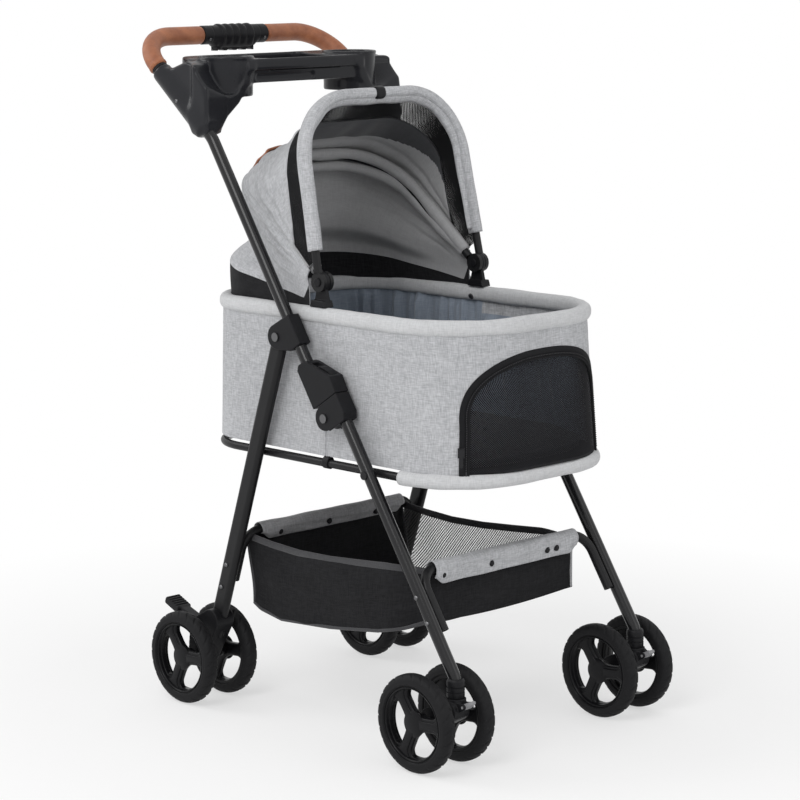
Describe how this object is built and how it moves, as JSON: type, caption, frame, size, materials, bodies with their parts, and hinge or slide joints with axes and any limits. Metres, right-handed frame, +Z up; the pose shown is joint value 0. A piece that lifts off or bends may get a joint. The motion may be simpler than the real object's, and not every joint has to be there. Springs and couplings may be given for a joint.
{
  "type": "pet stroller",
  "caption": "Folding pet stroller with a soft cabin, hinged canopy, zipped mesh front, under-basket, parent tray with cup wells, paired wheels, swivel casters and rear brakes.",
  "frame": {"origin": "on the floor, below the middle of the bounding box", "axes": "+X forward in the direction of travel, +Y to the stroller's left, +Z up"},
  "size_m": [0.712, 0.481, 1.005],
  "materials": {
    "frame_paint": "gloss black",
    "leg_paint": "satin black",
    "black_plastic": "satin moulded",
    "grey_plastic": "matte moulded",
    "brown_leather": "smooth grain",
    "grey_fabric": "heathered linen weave",
    "pad_fabric": "soft matte",
    "black_mesh": "open mesh",
    "basket_fabric": "woven matte",
    "black_tyre": "matte rubber",
    "pin_steel": "satin",
    "zip_metal": "satin"
  },
  "bodies": {
    "rear_frame": {"rear_leg_right": "leg_paint", "rear_leg_left": "leg_paint", "rear_cross_tube": "frame_paint", "rear_block_right": "black_plastic", "rear_block_left": "black_plastic", "basket": "basket_fabric"},
    "handle_frame": {"handle_tube": "frame_paint", "grip_right": "brown_leather", "grip_left": "brown_leather", "trigger_housing": "black_plastic", "parent_tray": "black_plastic", "leg_bracket_right": "black_plastic", "leg_bracket_left": "black_plastic", "latch_upper_right": "black_plastic", "latch_upper_left": "black_plastic", "fold_pins": "pin_steel"},
    "front_frame": {"front_leg_right": "frame_paint", "front_leg_left": "frame_paint", "latch_lower_right": "black_plastic", "latch_lower_left": "black_plastic", "front_cross_tube": "frame_paint", "caster_sockets": "black_plastic"},
    "carrier": {"bottom_hoop": "frame_paint", "hoop_sleeve": "grey_fabric", "carrier_shell": "grey_fabric", "carrier_pad": "pad_fabric", "mesh_door": "black_mesh", "canopy_knuckles": "black_plastic"},
    "rear_bow": {"rear_bow": "frame_paint", "carry_strap": "brown_leather", "canopy_rear": "grey_fabric"},
    "front_bow": {"front_bow": "frame_paint", "front_bow_sleeve": "grey_fabric", "canopy_front": "grey_fabric"},
    "zip_slider": {"zip_slider": "zip_metal"},
    "fold_trigger": {"fold_trigger": "black_plastic"},
    "latch_slide_right": {"latch_slide_right": "black_plastic"},
    "brake_pedal_right": {"brake_pedal_right": "black_plastic"},
    "caster_right": {"caster_fork_right": "black_plastic"},
    "caster_lock_right": {"caster_lock_right": "grey_plastic"},
    "rear_right_outer_wheel": {"rear_right_outer_tyre": "black_tyre", "rear_right_outer_hub": "black_plastic"},
    "front_right_outer_wheel": {"front_right_outer_tyre": "black_tyre", "front_right_outer_hub": "black_plastic"},
    "rear_right_inner_wheel": {"rear_right_inner_tyre": "black_tyre", "rear_right_inner_hub": "black_plastic"},
    "front_right_inner_wheel": {"front_right_inner_tyre": "black_tyre", "front_right_inner_hub": "black_plastic"},
    "latch_slide_left": {"latch_slide_left": "black_plastic"},
    "brake_pedal_left": {"brake_pedal_left": "black_plastic"},
    "caster_left": {"caster_fork_left": "black_plastic"},
    "caster_lock_left": {"caster_lock_left": "grey_plastic"},
    "rear_left_outer_wheel": {"rear_left_outer_tyre": "black_tyre", "rear_left_outer_hub": "black_plastic"},
    "front_left_outer_wheel": {"front_left_outer_tyre": "black_tyre", "front_left_outer_hub": "black_plastic"},
    "rear_left_inner_wheel": {"rear_left_inner_tyre": "black_tyre", "rear_left_inner_hub": "black_plastic"},
    "front_left_inner_wheel": {"front_left_inner_tyre": "black_tyre", "front_left_inner_hub": "black_plastic"}
  },
  "joints": [
    {"name": "frame_fold", "type": "hinge", "parent": "rear_frame", "child": "handle_frame", "pos_m": [-0.0272, 0, 0.57206], "axis": [0, -1, 0], "range_deg": [0, 74.7], "deforming": ["basket"]},
    {"name": "front_fold", "type": "hinge", "parent": "handle_frame", "child": "front_frame", "pos_m": [0.075, 0, 0.466], "axis": [0, -1, 0], "range_deg": [-120, 0]},
    {"name": "carrier_fold", "type": "hinge", "parent": "front_frame", "child": "carrier", "pos_m": [0.15288, 0, 0.394], "axis": [0, -1, 0], "range_deg": [0, 82]},
    {"name": "canopy_front_fold", "type": "hinge", "parent": "rear_bow", "child": "front_bow", "pos_m": [0.03, 0, 0.653], "axis": [0, -1, 0], "range_deg": [-34, 22], "deforming": ["canopy_front"]},
    {"name": "canopy_rear_fold", "type": "hinge", "parent": "carrier", "child": "rear_bow", "pos_m": [0.03, 0, 0.653], "axis": [0, -1, 0], "range_deg": [-17, 11], "deforming": ["canopy_rear"]},
    {"name": "fold_trigger", "type": "slide", "parent": "handle_frame", "child": "fold_trigger", "axis": [0, 0, 1], "range_m": [0, 0.004], "stiffness_N_per_m": 2500},
    {"name": "latch_slide_right", "type": "slide", "parent": "handle_frame", "child": "latch_slide_right", "axis": [-0.9519, 0, 0.3065], "range_m": [0, 0.011]},
    {"name": "latch_slide_left", "type": "slide", "parent": "handle_frame", "child": "latch_slide_left", "axis": [-0.9519, 0, 0.3065], "range_m": [0, 0.011]},
    {"name": "brake_right", "type": "hinge", "parent": "rear_frame", "child": "brake_pedal_right", "pos_m": [-0.214, -0.19, 0.116], "axis": [0, -1, 0], "range_deg": [0, 18]},
    {"name": "caster_swivel_right", "type": "hinge", "parent": "front_frame", "child": "caster_right", "pos_m": [0.322, -0.188, 0.1], "axis": [0, 0, 1], "continuous": true},
    {"name": "caster_lock_right", "type": "hinge", "parent": "caster_right", "child": "caster_lock_right", "pos_m": [0.343, -0.188, 0.097], "axis": [0, -1, 0], "range_deg": [0, 35]},
    {"name": "rear_right_outer_spin", "type": "hinge", "parent": "rear_frame", "child": "rear_right_outer_wheel", "pos_m": [-0.211, -0.229, 0.07], "axis": [0, 1, 0], "continuous": true},
    {"name": "front_right_outer_spin", "type": "hinge", "parent": "caster_right", "child": "front_right_outer_wheel", "pos_m": [0.286, -0.229, 0.07], "axis": [0, 1, 0], "continuous": true},
    {"name": "rear_right_inner_spin", "type": "hinge", "parent": "rear_frame", "child": "rear_right_inner_wheel", "pos_m": [-0.211, -0.151, 0.07], "axis": [0, 1, 0], "continuous": true},
    {"name": "front_right_inner_spin", "type": "hinge", "parent": "caster_right", "child": "front_right_inner_wheel", "pos_m": [0.286, -0.151, 0.07], "axis": [0, 1, 0], "continuous": true},
    {"name": "brake_left", "type": "hinge", "parent": "rear_frame", "child": "brake_pedal_left", "pos_m": [-0.214, 0.19, 0.116], "axis": [0, -1, 0], "range_deg": [0, 18]},
    {"name": "caster_swivel_left", "type": "hinge", "parent": "front_frame", "child": "caster_left", "pos_m": [0.322, 0.188, 0.1], "axis": [0, 0, 1], "continuous": true},
    {"name": "caster_lock_left", "type": "hinge", "parent": "caster_left", "child": "caster_lock_left", "pos_m": [0.343, 0.188, 0.097], "axis": [0, -1, 0], "range_deg": [0, 35]},
    {"name": "rear_left_outer_spin", "type": "hinge", "parent": "rear_frame", "child": "rear_left_outer_wheel", "pos_m": [-0.211, 0.229, 0.07], "axis": [0, 1, 0], "continuous": true},
    {"name": "front_left_outer_spin", "type": "hinge", "parent": "caster_left", "child": "front_left_outer_wheel", "pos_m": [0.286, 0.229, 0.07], "axis": [0, 1, 0], "continuous": true},
    {"name": "rear_left_inner_spin", "type": "hinge", "parent": "rear_frame", "child": "rear_left_inner_wheel", "pos_m": [-0.211, 0.151, 0.07], "axis": [0, 1, 0], "continuous": true},
    {"name": "front_left_inner_spin", "type": "hinge", "parent": "caster_left", "child": "front_left_inner_wheel", "pos_m": [0.286, 0.151, 0.07], "axis": [0, 1, 0], "continuous": true},
    {"name": "zip_run", "type": "slide", "parent": "carrier", "child": "zip_slider", "axis": [-0.0782, 0.0125, 0.9969], "range_m": [0, 0.05]}
  ],
  "couplings": [
    {"joint": "front_fold", "follows": "frame_fold", "ratio": -1.6046},
    {"joint": "carrier_fold", "follows": "frame_fold", "ratio": 1.0932},
    {"joint": "canopy_rear_fold", "follows": "canopy_front_fold", "ratio": 0.5},
    {"joint": "latch_slide_right", "follows": "fold_trigger", "ratio": 2.75},
    {"joint": "latch_slide_left", "follows": "fold_trigger", "ratio": 2.75}
  ]
}
